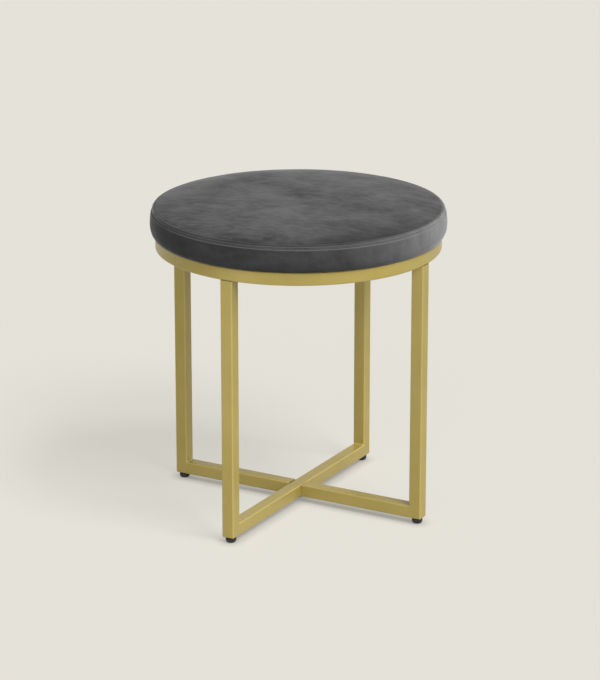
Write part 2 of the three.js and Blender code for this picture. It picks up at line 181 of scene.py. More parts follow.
# A low reflector card in front of the stool, which brightens the legs that are nearest to it. It
# stands outside the picture and leaves the floor as it is.
card = placed(bpy.data.lights.new("card", "AREA"), "card")
card.data.shape = "DISK"
card.data.size = card_size
card.data.energy = card_strength
card.location = card_place
card.rotation_euler = (Vector((0, 0, card_aim)) - Vector(card_place)).to_track_quat(
    "-Z", "Y").to_euler()
card.visible_camera = False
not_the_floor = bpy.data.collections.new("not_the_floor")
not_the_floor.objects.link(floor)
not_the_floor.collection_objects[0].light_linking.link_state = "EXCLUDE"
card.light_linking.receiver_collection = not_the_floor


# Brass finish of the ring, the frames and the lugs: mild steel tube, ground smooth over its
# welds, coated in satin brass colour and sealed with clear lacquer.
tube_width = 0.019
tube_wall = 0.0012
tube_edge_radius = 0.002
brass_hex = "b29f59"
brass_deep_hex = "a18f47"
# Colour that the rounded edges are painted toward: a painted highlight, partly also rubbed wear
brass_rubbed_highlight_hex = "bdab64"
grain_width = 0.0009
clouds_per_metre = 18


def finish_tree(name):
    """A material for the object, its empty tree, and where each point lies on the object."""
    material = bpy.data.materials.new(name)
    tree = emptied(material)
    return material, tree, add_node(tree, "TexCoord").outputs["Object"]


def end_finish(tree, given):
    """Ends a material in its surface."""
    surface = add_node(tree, "BsdfPrincipled", given)
    add_node(tree, "OutputMaterial", {"Surface": surface})


# Satin brass coating: metallic, with the broad soft gloss of a fine brushed ground coat, and
# a clear lacquer that turns it pale where it is seen at a slant. Along the rounded edges of
# the tube its colour is painted brighter: a painted highlight, partly also rubbed wear.
satin_brass, tree, place = finish_tree("satin_brass_coating")
grain = add_node(tree, "Attribute", {"attribute_name": "grain"})
streaks = add_node(
    tree, "TexNoise", {"Scale": 1 / grain_width, "Detail": 2, "Vector": grain.outputs["Vector"]})
clouds = add_node(tree, "TexNoise", {"Scale": clouds_per_metre, "Detail": 3, "Vector": place})
gloss = add_node(
    tree, "MapRange",
    {"From Min": 0.3, "From Max": 0.7, "To Min": 0.34, "To Max": 0.44, "Value": streaks})
tone = add_node(tree, "Mix RGBA", {0: clouds, 6: brass_deep_hex, 7: brass_hex})
# Painted highlight: the tube's rounded edges are mixed toward a brighter colour
rub = add_node(tree, "Attribute", {"attribute_name": "rub"})
rub_highlight_share = add_node(tree, "Math MULTIPLY", {"use_clamp": True, 0: rub.outputs["Fac"], 1: gloss})
rub_highlight_strength = add_node(tree, "MapRange", {"From Max": 0.3, "Value": rub_highlight_share})
finish = add_node(tree, "Mix RGBA", {0: rub_highlight_strength, 6: tone, 7: brass_rubbed_highlight_hex})
scratches = add_node(tree, "Bump", {"Strength": 0.06, "Distance": 0.0002, "Height": streaks})
end_finish(
    tree,
    {"Metallic": 0.3, "Specular IOR Level": 0.3, "Coat Weight": 0.3, "Coat Roughness": 0.25,
     "Base Color": finish, "Roughness": gloss, "Normal": scratches})


def coat(piece, material):
    """Gives a piece its material and the slot that it fills."""
    piece.data.materials.clear()
    piece.data.materials.append(material)


def kept(name, mesh, material, nodes, body="stool"):
    """A finished piece with its material, on its body, in the place of these nodes."""
    piece = placed(mesh, name)
    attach(piece, body)
    coat(piece, material)
    if nodes:
        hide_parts(*nodes)
    return piece


def evaluated(piece):
    """The mesh that an object's modifiers make, with the object itself removed."""
    graph = bpy.context.evaluated_depsgraph_get()
    mesh = bpy.data.meshes.new_from_object(
        piece.evaluated_get(graph), preserve_all_data_layers=True, depsgraph=graph)
    bpy.data.objects.remove(piece)
    return mesh


def mesh_of(shape):
    """A mesh from a bmesh, which is freed."""
    mesh = bpy.data.meshes.new("work")
    shape.to_mesh(mesh)
    shape.free()
    return mesh


def shaded(mesh, sharp=math.radians(35)):
    """Smooth shading, but for edges that turn more than this."""
    mesh.shade_smooth()
    mesh.set_sharp_from_angle(angle=sharp)
    return mesh


def evenly_lit(piece):
    """Flat faces keep flat normals, and only their rounded edges catch the light."""
    weighted = piece.modifiers.new("flat_faces", "WEIGHTED_NORMAL")
    weighted.keep_sharp = True


def cut_away(mesh, cutters):
    """The mesh with the cutters' solids taken out of it."""
    piece, tool = placed(mesh), placed(cutters)
    difference = piece.modifiers.new("cut", "BOOLEAN")
    difference.operation = "DIFFERENCE"
    difference.solver = "EXACT"
    difference.object = tool
    made = evaluated(piece)
    bpy.data.objects.remove(tool)
    return made


def add_cylinder(shape, radius, low, high, facets, centre=(0, 0)):
    """Adds an upright cylinder."""
    bmesh.ops.create_cone(
        shape, cap_ends=True, segments=facets, radius1=radius, radius2=radius, depth=high - low,
        matrix=Matrix.Translation((*centre, (low + high) / 2)))


def add_block(shape, low, high):
    """Adds a block between two corners."""
    size = Vector(high) - Vector(low)
    place = Matrix.Translation((Vector(low) + Vector(high)) / 2)
    bmesh.ops.create_cube(shape, size=1, matrix=place @ Matrix.Diagonal((*size, 1)))


# Geometry trees: inputs are made by name, and a tree's result is kept as a plain mesh
def geometry_tree(name, inputs):
    """A tree whose input node has these named sockets, and a socket for its result."""
    tree = bpy.data.node_groups.new(name, "GeometryNodeTree")
    for label, kind in inputs.items():
        tree.interface.new_socket(label, in_out="INPUT", socket_type=f"NodeSocket{kind}")
    tree.interface.new_socket("Geometry", in_out="OUTPUT", socket_type="NodeSocketGeometry")
    return tree, add_node(tree, "NodeGroupInput").outputs


def end_tree(tree, geometry, material):
    """Ends a tree in real geometry with its material."""
    real = add_node(tree, "GeometryNodeRealizeInstances", {"Geometry": geometry})
    painted = add_node(tree, "GeometryNodeSetMaterial", {"Geometry": real, "Material": material})
    add_node(tree, "NodeGroupOutput", {0: painted})


def grown(tree, sizes):
    """What a geometry tree makes with these sizes, as a plain mesh."""
    host = placed(bpy.data.meshes.new("work"))
    modifier = host.modifiers.new("grow", "NODES")
    modifier.node_group = tree
    for item in tree.interface.items_tree:
        if item.in_out == "INPUT":
            modifier[item.identifier] = sizes[item.name]
    return evaluated(host)


# Top ring: one length of tube rolled into a circle and welded. Over each leg its floor is
# drilled for the leg's bolt and its top is opened for the bolt's head, under the seat.
ring_low, ring_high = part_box("top_ring")
ring_radius = ring_high.x - tube_width / 2
ring_middle = (ring_low.z + ring_high.z) / 2
ring_facets = 192
edge_facets = 4
hole_facets = 32
leg_count = 4
leg_bolt_hole = 0.0033
access_hole = 0.0068
grain_stretch = 0.03

tree, given = geometry_tree("rolled_ring", {
    "Radius": "Float", "Height": "Float", "Tube Width": "Float", "Wall": "Float",
    "Edge Radius": "Float", "Bolt Hole": "Float", "Access Hole": "Float",
    "Facets": "Int", "Edge Facets": "Int", "Material": "Material"})
circle = add_node(
    tree, "GeometryNodeCurvePrimitiveCircle",
    {"Resolution": given["Facets"], "Radius": given["Radius"]})
two_walls = add_node(tree, "Math MULTIPLY", {0: given["Wall"], 1: 2})
hollow_width = add_node(tree, "Math SUBTRACT", {0: given["Tube Width"], 1: two_walls})
hollow_edge = add_node(tree, "Math SUBTRACT", {0: given["Edge Radius"], 1: given["Wall"]})
skins = []
for width, edge in ((given["Tube Width"], given["Edge Radius"]), (hollow_width, hollow_edge)):
    square = add_node(
        tree, "GeometryNodeCurvePrimitiveQuadrilateral", {"Width": width, "Height": width})
    section = add_node(
        tree, "GeometryNodeFilletCurve",
        {"mode": "POLY", "Curve": square, "Count": given["Edge Facets"], "Radius": edge})
    skins.append(add_node(
        tree, "GeometryNodeCurveToMesh", {"Curve": circle, "Profile Curve": section}))
holes = []
for label, lift in (("Bolt Hole", -0.5), ("Access Hole", 0.5)):
    drill = add_node(
        tree, "GeometryNodeMeshCylinder",
        {"Vertices": hole_facets, "Radius": given[label], "Depth": given["Tube Width"]})
    height = add_node(tree, "Math MULTIPLY", {0: given["Tube Width"], 1: lift})
    spot = add_node(tree, "CombineXYZ", {"X": given["Radius"], "Z": height})
    drilled = add_node(tree, "GeometryNodeTransform", {"Geometry": drill, "Translation": spot})
    holes.append(drilled)
pair = add_node(tree, "GeometryNodeJoinGeometry", {0: holes})
legs = add_node(tree, "GeometryNodePoints", {"Count": leg_count})
which = add_node(tree, "GeometryNodeInputIndex")
turn = add_node(tree, "Math MULTIPLY", {0: which, 1: math.pi / 2})
turned_by = add_node(tree, "CombineXYZ", {"Z": turn})
drills = add_node(
    tree, "GeometryNodeInstanceOnPoints", {"Points": legs, "Instance": pair, "Rotation": turned_by})
drills_real = add_node(tree, "GeometryNodeRealizeInstances", {"Geometry": drills})
taken = add_node(tree, "GeometryNodeJoinGeometry", {0: [drills_real, skins[1]]})
ring_cut = add_node(
    tree, "GeometryNodeMeshBoolean",
    {"operation": "DIFFERENCE", "solver": "EXACT", "Self Intersection": True, "Mesh 1": skins[0],
     "Mesh 2": taken})
lift = add_node(tree, "CombineXYZ", {"Z": given["Height"]})
raised = add_node(tree, "GeometryNodeTransform", {"Geometry": ring_cut, "Translation": lift})
end_tree(tree, raised, given["Material"])

ring_mesh = grown(tree, {
    "Radius": ring_radius, "Height": ring_middle, "Tube Width": tube_width,
    "Wall": tube_wall, "Edge Radius": tube_edge_radius, "Bolt Hole": leg_bolt_hole,
    "Access Hole": access_hole, "Facets": ring_facets, "Edge Facets": edge_facets,
    "Material": satin_brass})


def lay_grain(mesh, stretched):
    """Writes where each corner lies in the finish's grain, for a face's middle and the corner."""
    layer = mesh.attributes.new("grain", "FLOAT_VECTOR", "CORNER")
    for face in mesh.polygons:
        for corner in face.loop_indices:
            at = mesh.vertices[mesh.loops[corner].vertex_index].co
            layer.data[corner].vector = stretched(face.center, at)


def lay_rub_and_highlight(mesh, round_axis=False):
    """Writes how far each face turns from the tube's flat sides, as on its edges: the painted
    highlight's mask.
    """
    layer = mesh.attributes.new("rub", "FLOAT", "FACE")
    for face in mesh.polygons:
        across = face.normal.xy.length if round_axis else max(map(abs, face.normal.xy))
        layer.data[face.index].value = (1 - max(across, abs(face.normal.z))) / (1 - math.sqrt(0.5))


def ring_grain(middle, at):
    """The grain runs round the ring."""
    out = math.hypot(at.x, at.y) - ring_radius
    return out + grain_stretch * at.x, at.z + grain_stretch * at.y, 0


lay_grain(shaded(ring_mesh), ring_grain)
lay_rub_and_highlight(ring_mesh, round_axis=True)
evenly_lit(kept("rolled_ring", ring_mesh, satin_brass, ["top_ring"]))


# U-shaped frames: each is two legs and a bar of the same tube, mitred at the feet, welded and
# ground flush. The through frame runs whole on top; the other is notched to let it by.
frame_reach = ring_high.x
leg_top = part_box("leg_front_left")[1]
bar_low, bar_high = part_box("lapped_bar")
lap_gap = 0.0003
lap_play = 0.0015
overrun = 0.001
insert_hole = 0.0048
screw_hole = 0.0033
hollow_edge_facets = 2
leg_middle = frame_reach - tube_width / 2
lap_height = (bar_low.z + bar_high.z) / 2


def pushed_out(outline, along):
    """A solid from a flat outline that is pushed out along a vector."""
    shape = bmesh.new()
    side = shape.faces.new([shape.verts.new(point) for point in outline])
    pushed = bmesh.ops.extrude_face_region(shape, geom=[side])["geom"]
    bmesh.ops.translate(
        shape, vec=along, verts=[v for v in pushed if isinstance(v, bmesh.types.BMVert)])
    bmesh.ops.recalc_face_normals(shape, faces=shape.faces)
    return shape


def u_prism(reach, width, low, high, edge_radius, facets):
    """A solid U along X, its legs and bar this wide, with rounded edges all along."""
    inner, inner_low = reach - width, low + width
    outline = [(-reach, low), (reach, low), (reach, high), (inner, high), (inner, inner_low),
               (-inner, inner_low), (-inner, high), (-reach, high)]
    shape = pushed_out([(x, -width / 2, z) for x, z in outline], (0, width, 0))
    rounded = [e for e in shape.edges if min(v.co.z for v in e.verts) < high]
    bmesh.ops.bevel(shape, geom=rounded, offset=edge_radius, segments=facets,
                    profile=0.5, affect="EDGES", clamp_overlap=True)
    return mesh_of(shape)


def u_tube(reach, low, high):
    """A U of hollow tube along X, open at the legs' mouths, its faces parted at the mitres."""
    outside = u_prism(reach, tube_width, low, high, tube_edge_radius, edge_facets)
    hollow = u_prism(reach - tube_wall, tube_width - 2 * tube_wall, low + tube_wall,
                     high + overrun, tube_edge_radius - tube_wall, hollow_edge_facets)
    shape = bmesh.new()
    shape.from_mesh(cut_away(outside, hollow))
    for direction in (-1, 1):
        bmesh.ops.bisect_plane(
            shape, geom=shape.verts[:] + shape.edges[:] + shape.faces[:],
            plane_co=(direction * reach, 0, low), plane_no=(direction, 0, 1))
    return mesh_of(shape)


def frame_grain(middle, at):
    """The grain runs along each leg and bar."""
    in_leg = middle.z - bar_low.z > frame_reach - abs(middle.x)
    upward = Vector((at.x, at.y, at.z * grain_stretch))
    return upward if in_leg else Vector((at.z, at.y, at.x * grain_stretch))


def frame_piece(name, notch_low, notch_high, turned_by, nodes, drilled=()):
    """One frame, with its notch and holes, turned to its own direction."""
    tools = bmesh.new()
    add_block(tools, notch_low, notch_high)
    floor_low, floor_high = bar_low.z - overrun, bar_low.z + tube_wall + overrun
    for along in (-leg_middle, leg_middle):
        add_cylinder(tools, insert_hole, floor_low, floor_high, hole_facets, (along, 0))
    for radius in drilled:
        add_cylinder(tools, radius, floor_low, floor_high, hole_facets)
    mesh = cut_away(u_tube(frame_reach, bar_low.z, leg_top.z), mesh_of(tools))
    lay_grain(shaded(mesh), frame_grain)
    lay_rub_and_highlight(mesh)
    mesh.transform(Matrix.Rotation(turned_by, 4, "Z"))
    evenly_lit(kept(name, mesh, satin_brass, nodes))


half = tube_width / 2
frame_piece("through_frame",
            (-half - lap_gap, -half - overrun, bar_low.z - overrun),
            (half + lap_gap, half + overrun, lap_height + lap_gap / 2),
            math.pi / 2, ("through_bar", "leg_front_left", "leg_back_right"))
frame_piece("lapped_frame",
            (-half - lap_play, -half - overrun, lap_height - lap_gap / 2),
            (half + lap_gap, half + overrun, bar_high.z + overrun),
            0, ("lapped_bar", "leg_front_right", "leg_back_left"), drilled=(screw_hole,))


# Fasteners in sight from below: zinc-plated M6 button-head screws with a hexagon socket, and
# the plain washers under them. The first one clamps the two crossing bars together.
head_radius = 0.0054
head_height = 0.0032
head_face_radius = 0.0027
dome_height = head_height * 0.85
dome_facets = 8
shank_radius = 0.003
screw_facets = 32
socket_radius = 0.002 / math.cos(math.pi / 6)
socket_depth = 0.0019
socket_sides = 6
washer_bore = 0.0032
washer_edge = 0.00015
tip_chamfer = washer_edge * 3
zinc_hex = "b4b7ba"
zinc_dull_hex = "9a9da1"
spangle_width = 0.0025
screw_low, screw_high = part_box("cross_screw")
washer_low, washer_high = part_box("cross_washer")

# Zinc plating on steel: bright and slightly blue, with the cloudy gloss of a barrel-plated part
zinc_plated_steel, tree, place = finish_tree("zinc_plated_steel")
spangle = add_node(tree, "TexNoise", {"Scale": 1 / spangle_width, "Detail": 2, "Vector": place})
tone = add_node(tree, "Mix RGBA", {0: spangle, 6: zinc_dull_hex, 7: zinc_hex})
gloss = add_node(
    tree, "MapRange",
    {"From Min": 0.3, "From Max": 0.7, "To Min": 0.24, "To Max": 0.4, "Value": spangle})
end_finish(tree, {"Metallic": 1, "Base Color": tone, "Roughness": gloss})


def arc(centre, radii, start, end, steps):
    """Points of an upright arc: (radius, height) about its centre, with a width and a height."""
    turns = [math.radians(start + (end - start) * i / steps) for i in range(steps + 1)]
    return [(centre[0] + radii[0] * math.sin(t), centre[1] - radii[1] * math.cos(t)) for t in turns]


def around(count):
    """The turns of so many places round the axis."""
    return [2 * math.pi * i / count for i in range(count)]


def level_ring(radius, height, facets):
    """A level ring of points round the axis, or a pole on it."""
    turns = around(facets) if radius else [0]
    return [(radius * math.cos(t), radius * math.sin(t), height) for t in turns]


def skinned(rings, capped=False):
    """A mesh over rings of points, where a ring of one point is a pole. It ends in two poles or
    flat caps, or closes back onto its first ring."""
    shape = bmesh.new()
    rows = [[shape.verts.new(point) for point in ring] for ring in rings]
    facets = max(map(len, rows))
    closing = [] if capped or len(rows[0]) == 1 else rows[:1]
    for lower, upper in zip(rows, rows[1:] + closing):
        for i in range(facets):
            j = (i + 1) % facets
            corners = (lower[i % len(lower)], lower[j % len(lower)],
                       upper[j % len(upper)], upper[i % len(upper)])
            shape.faces.new(list(dict.fromkeys(corners)))
    for end in (rows[0], rows[-1]) if capped else ():
        shape.faces.new(end)
    bmesh.ops.recalc_face_normals(shape, faces=shape.faces)
    return mesh_of(shape)


def lathed(profile, facets):
    """A mesh turned from (radius, height) points; a radius of zero is on the axis."""
    return skinned([level_ring(radius, height, facets) for radius, height in profile])


def moved_out(mesh, reach):
    """A mesh moved along X from the axis."""
    mesh.transform(Matrix.Translation((reach, 0, 0)))
    return mesh


def button_screw(low, high, reach):
    """A screw that points up, with its domed head below and a hexagon socket in the head."""
    dome = arc((head_face_radius, low + dome_height),
               (head_radius - head_face_radius, dome_height), 0, 90, dome_facets)
    neck = low + head_height
    solid = lathed([(0, low), *dome, (head_radius, neck - washer_edge),
                    (head_radius - washer_edge, neck), (shank_radius, neck),
                    (shank_radius, high - tip_chamfer), (shank_radius - tip_chamfer, high),
                    (0, high)], screw_facets)
    socket = bmesh.new()
    add_cylinder(socket, socket_radius, low - overrun, low + socket_depth, socket_sides)
    return moved_out(cut_away(solid, mesh_of(socket)), reach)


def washer(low, high, outer, reach):
    """A plain washer with eased outer edges."""
    edge = washer_edge
    return moved_out(lathed([(washer_bore, low), (outer - edge, low), (outer, low + edge),
                             (outer, high - edge), (outer - edge, high), (washer_bore, high)],
                            screw_facets), reach)


kept("clamping_screw", shaded(button_screw(screw_low.z, screw_high.z, 0)), zinc_plated_steel,
     ["cross_screw"])
kept("clamping_washer", shaded(washer(washer_low.z, washer_high.z, washer_high.x, 0)),
     zinc_plated_steel, ["cross_washer"])

# What the tubes and the seat hide keeps its plain solid in the same plating
for name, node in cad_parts.items():
    if name.startswith(("cross_boss", "leg_plug", "leg_bolt", "leg_washer", "tee_nut")):
        coat(node, zinc_plated_steel)


# Ring lugs: four plates of 3 mm mild steel with a rounded free end, welded inside the ring
# under the seat with a bead along their lower edge, and drilled for the seat's bolts.
lug_low, lug_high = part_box("ring_lug_front")
bolt_low, bolt_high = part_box("seat_bolt_front")
lug_end_radius = 0.012
lug_end_facets = 24
lug_edge = 0.0004
lug_hole = 0.0033
lug_gap = 0.0003
bead_radius = 0.0014
bead_ripple = 0.00018
bead_ripples = 14
bead_rows = bead_ripples * 6
bead_facets = 10
bead_share = 0.92
bead_sunk = bead_radius * 0.35
bead_taper, bead_end = 8, 0.25
lug_count = 4
lug_sides = ("front", "right", "back", "left")
first_lug = math.pi / 4
bolt_reach = math.hypot((bolt_low.x + bolt_high.x) / 2, (bolt_low.y + bolt_high.y) / 2)
weld_reach = ring_high.x - tube_width - lug_gap

round_the_stool, given = geometry_tree("round_the_stool", {
    "Part": "Object", "Count": "Int", "First Turn": "Float", "Material": "Material"})
part = add_node(round_the_stool, "GeometryNodeObjectInfo", {"Object": given["Part"]})
places = add_node(round_the_stool, "GeometryNodePoints", {"Count": given["Count"]})
which = add_node(round_the_stool, "GeometryNodeInputIndex")
step = add_node(round_the_stool, "Math DIVIDE", {0: 2 * math.pi, 1: given["Count"]})
turn = add_node(round_the_stool, "Math MULTIPLY_ADD", {0: which, 1: step, 2: given["First Turn"]})
turned_by = add_node(round_the_stool, "CombineXYZ", {"Z": turn})
copies = add_node(
    round_the_stool, "GeometryNodeInstanceOnPoints",
    {"Points": places, "Instance": part.outputs["Geometry"], "Rotation": turned_by})
end_tree(round_the_stool, copies, given["Material"])


def set_round(name, part_mesh, count, first_turn, material, nodes=()):
    """Copies of a part, modelled on the X axis, set out evenly round the stool as one piece."""
    part = placed(part_mesh)
    mesh = grown(round_the_stool, {
        "Part": part, "Count": count, "First Turn": first_turn, "Material": material})
    bpy.data.objects.remove(part)
    kept(name, shaded(mesh), material, nodes)


def lug_plate():
    """One lug on the X axis: its outline pressed out to the plate's thickness, edges eased."""
    spread = math.asin(lug_end_radius / weld_reach)
    steps = range(lug_end_facets + 1)
    outline = [(weld_reach * math.cos(a), weld_reach * math.sin(a))
               for a in (spread * (2 * i / lug_end_facets - 1) for i in steps)]
    outline += [(bolt_reach + lug_end_radius * math.cos(a), lug_end_radius * math.sin(a))
                for a in (math.pi * (0.5 + i / lug_end_facets) for i in steps)]
    shape = pushed_out([(x, y, lug_low.z) for x, y in outline], (0, 0, lug_high.z - lug_low.z))
    rims = [e for e in shape.edges if abs(e.verts[0].co.z - e.verts[1].co.z) < lug_edge]
    bmesh.ops.bevel(shape, geom=rims, offset=lug_edge, segments=2, profile=0.5, affect="EDGES")
    hole = bmesh.new()
    add_cylinder(hole, lug_hole, lug_low.z - overrun, lug_high.z + overrun, hole_facets,
                 (bolt_reach, 0))
    return cut_away(mesh_of(shape), mesh_of(hole))


def weld_bead():
    """A rippled bead along the lug's lower edge, laid against the inside of the ring."""
    spread = math.asin(lug_end_radius / weld_reach) * bead_share
    rings = []
    for i in range(bead_rows + 1):
        share = i / bead_rows
        turn = spread * (2 * share - 1)
        ripple = bead_ripple * abs(math.sin(math.pi * bead_ripples * share))
        thick = (bead_radius + ripple) * min(1, bead_taper * min(share, 1 - share) + bead_end)
        ring = [(weld_reach - bead_sunk + thick * math.cos(tilt), thick * math.sin(tilt))
                for tilt in around(bead_facets)]
        rings.append([(out * math.cos(turn), out * math.sin(turn), lug_low.z + rise)
                      for out, rise in ring])
    return skinned(rings, capped=True)


def joined(*meshes):
    """Several meshes as one."""
    shape = bmesh.new()
    for mesh in meshes:
        shape.from_mesh(mesh)
    return mesh_of(shape)


lug_mesh = joined(lug_plate(), weld_bead())
lay_grain(lug_mesh, lambda middle, at: Vector((at.x * grain_stretch, at.y, at.z)))
set_round("ring_lugs", lug_mesh, lug_count, first_lug, satin_brass,
          [f"ring_lug_{side}" for side in lug_sides])


# Feet: a round glide of black nylon, moulded onto an M6 steel stud. The stud screws into a
# threaded insert, pressed into the underside of the bar, so that each foot sets its own height.
pad_low, pad_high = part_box("foot_pad_front_right")
stud_low, stud_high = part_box("foot_stud_front_right")
insert_low, insert_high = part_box("foot_insert_front_right")
foot_reach = (pad_low.x + pad_high.x) / 2
pad_radius = (pad_high.x - pad_low.x) / 2
sole_radius = 0.004
pad_round = 0.004
pad_chamfer = 0.0005
pad_facets = 48
pad_side_facets = 16
thread_radius = 0.003
thread_pitch = 0.001
thread_depth = 0.0005
thread_rows = 6
thread_facets = 24
insert_flange_radius = 0.0062
insert_flange = 0.0008
insert_barrel_radius = 0.0045
feet = ("front_right", "back_right", "back_left", "front_left")
nylon_hex = "151516"
nylon_rubbed_hex = "1f1f20"
moulding_grain = 0.0006
rubs_per_metre = 300

# Moulded nylon: nearly black, with the fine spark-eroded grain of its mould and a dull gloss
moulded_nylon, tree, place = finish_tree("moulded_nylon")
grit = add_node(tree, "TexNoise", {"Scale": 1 / moulding_grain, "Detail": 1, "Vector": place})
rubbed = add_node(tree, "TexNoise", {"Scale": rubs_per_metre, "Detail": 3, "Vector": place})
tone = add_node(tree, "Mix RGBA", {0: rubbed, 6: nylon_hex, 7: nylon_rubbed_hex})
pits = add_node(tree, "Bump", {"Strength": 0.25, "Distance": 0.0001, "Height": grit})
end_finish(tree, {"Roughness": 0.6, "IOR": 1.53, "Base Color": tone, "Normal": pits})


def glide():
    """The glide on the axis: a small flat sole, a fully rounded side and a bored top."""
    side = arc((sole_radius, pad_round), (pad_radius - sole_radius, pad_round), 0, 90,
               pad_side_facets)
    return lathed([(0, 0), *side, (pad_radius, pad_high.z - pad_chamfer),
                   (pad_radius - pad_chamfer, pad_high.z), (thread_radius, pad_high.z),
                   (thread_radius, stud_low.z), (0, stud_low.z)], pad_facets)


def stud():
    """A stud on the axis with a thread that winds up it."""
    rows = round((stud_high.z - stud_low.z) / thread_pitch * thread_rows)
    heights = [stud_low.z + (stud_high.z - stud_low.z) * i / rows for i in range(rows + 1)]
    mesh = lathed([(0, stud_low.z), *((thread_radius, z) for z in heights), (0, stud_high.z)],
                  thread_facets)
    for corner in mesh.vertices:
        if corner.co.xy.length > thread_depth:
            turn = math.atan2(corner.co.y, corner.co.x) / (2 * math.pi)
            groove = abs(2 * ((corner.co.z / thread_pitch - turn) % 1) - 1)
            corner.co.xy *= 1 - groove * thread_depth / thread_radius
    return mesh


for turn, foot in zip(around(len(feet)), feet):
    for label, made, material, slot_name in (
            ("pad", glide(), moulded_nylon, "foot_plastic"),
            ("stud", stud(), zinc_plated_steel, "zinc_steel")):
        moved_out(made, foot_reach).transform(Matrix.Rotation(turn, 4, "Z"))
        kept(f"levelling_{label}_{foot}", shaded(made), material,
             [f"foot_{label}_{foot}"], body=f"foot_{foot}")

insert = lathed([(thread_radius + washer_edge, insert_low.z),
                 (insert_flange_radius - washer_edge, insert_low.z),
                 (insert_flange_radius, insert_low.z + washer_edge),
                 (insert_flange_radius, insert_low.z + insert_flange),
                 (insert_barrel_radius, insert_low.z + insert_flange),
                 (insert_barrel_radius, insert_high.z),
                 (thread_radius + washer_edge, insert_high.z)], screw_facets)
set_round("foot_inserts", moved_out(insert, foot_reach), len(feet), 0, zinc_plated_steel,
          [f"foot_insert_{foot}" for foot in feet])


# Seat board: a round of 12 mm birch plywood, cut on a router, with its corners eased and four
# tee nuts driven in from above. The cover wraps it, so only its solid is needed.
ply_thickness = 0.0015
figure_width = 0.004
figure_stretch = 0.08
birch_hex = "d3b489"
birch_dark_hex = "b08d61"

# Rotary-cut birch: pale, with a soft figure along the sheet and a darker line at each ply
birch_plywood, tree, place = finish_tree("birch_plywood")
along = add_node(tree, "Mapping", {"Scale": (figure_stretch, 1, 1), "Vector": place})
figure = add_node(tree, "TexNoise", {"Scale": 1 / figure_width, "Detail": 4, "Vector": along})
plies = add_node(
    tree, "TexWave",
    {"bands_direction": "Z", "Scale": math.pi / (10 * ply_thickness), "Vector": place})
both = add_node(tree, "Math MULTIPLY", {0: figure, 1: plies.outputs["Fac"]})
tone = add_node(tree, "Mix RGBA", {0: both, 6: birch_dark_hex, 7: birch_hex})
end_finish(tree, {"Roughness": 0.7, "Base Color": tone})
coat(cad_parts["seat_board"], birch_plywood)


# Seat cushion: a foam pad, glued to the board, under a cover of short-pile velvet. The cover is
# sewn from a top panel, a narrow slanting strip and a side band, pulled down and stapled below.
board_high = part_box("seat_board")[1]
cover_low, cover_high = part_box("cover_side_band")
crown_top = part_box("cover_top_panel")[1].z
hem_width = 0.025
cover_thickness = 0.0012
board_play = 0.0003
foot_tuck = 0.001
widest_height = 0.018
low_seam_height = 0.0357
low_seam_inset = 0.0024
shoulder_rise = 0.0051
shoulder_spread = 0.005
shoulder_roll = 0.0011
crown_power = 7
seam_depth = 0.0011
seam_width = 0.0009
seam_puff = 0.0004
seam_puff_reach = 0.0035
crease_depth = 0.0005
crease_width = 0.0009
crease_offset = 3 * seam_width
pucker_depth = 0.0004
pucker_spacing = 0.016
pucker_reach = 0.012
pucker_slice = 7
swell_depth = 0.0006
swell_width = 0.055
small_swells, small_swells_finer = 0.5, 2.1
hem_freedom = 0.02
seam_hold = 0.003
cushion_facets = 384
cover_parts = 5
cover_samples = 4000
share_end = 0.99999
cover_steps = ((0.004, 0.00045), (0.03, 0.0018), (1, 0.0045))
lining_radii = (0, 0.06, 0.12, 0.17)
case_rows = 60
case_facets = 128
case_scale = 0.985
case_voxel = 0.006
case_wander = 0.0015
wander_slices = (0, 19, 43)
seam_grip = case_voxel * 0.7
case_neighbours = 6
stuffing_pressure = 4
stuffing_frames = 20
swell_cap = 0.0012
velvet_hex = "535354"
velvet_deep_hex = "2b2b2c"
# Pale colour along the seams: pressed pile, and also a painted highlight
velvet_pressed_highlight_hex = "6e6e6f"
# Pale colour painted on the right of the side band, where the light falls: painted light
velvet_lit_side_hex = "909091"
velvet_shadow_hex = "101011"
sheen_hex = "c0c0c1"
brush_width = 0.009
brush_stretch = 0.55
nap_turn = math.radians(29)
patch_width = 0.032
cloud_width = 0.095
pile_width = 0.0011
lit_side_turn = 35
lit_side_from, lit_side_to = -0.02, 0.22
lit_side_gather = 3
lit_mottle_width = 0.016
lit_mottle_height = 2
# Where the top is painted darker over its front edge: painted shade
rim_shade_turn = -35
rim_shade_from, rim_shade_to, rim_shade_most = 0.16, 0.205, 0.8
side_blend = 0.001
# Heights of the painted shadow where the cover turns under
hem_shade_from, hem_shade_to = 0.0016, 0.0008

foot_radius = board_high.x - foot_tuck
hem_inner = foot_radius - hem_width
low_seam_radius = cover_high.x - low_seam_inset
high_seam_radius = low_seam_radius - shoulder_spread
high_seam_height = low_seam_height + shoulder_rise
crown_rise = crown_top - cover_low.z - high_seam_height


def outside(share):
    """(radius, height) of the cover without its seams, for a share from the hem to the crown."""
    part, along = divmod(min(share, share_end) * cover_parts, 1)
    if part == 0:
        return hem_inner + hem_width * along, 0
    if part == 1:
        turn = along * math.pi / 2
        return (foot_radius + (cover_high.x - foot_radius) * math.sin(turn),
                widest_height * (1 - math.cos(turn)))
    if part == 2:
        return (cover_high.x - low_seam_inset * along ** 2,
                widest_height + (low_seam_height - widest_height) * along)
    if part == 3:
        roll = shoulder_roll * math.sin(along * math.pi)
        return (low_seam_radius - shoulder_spread * along + roll,
                low_seam_height + shoulder_rise * along + roll)
    return (high_seam_radius * (1 - along),
            high_seam_height + crown_rise * (1 - (1 - along) ** crown_power))


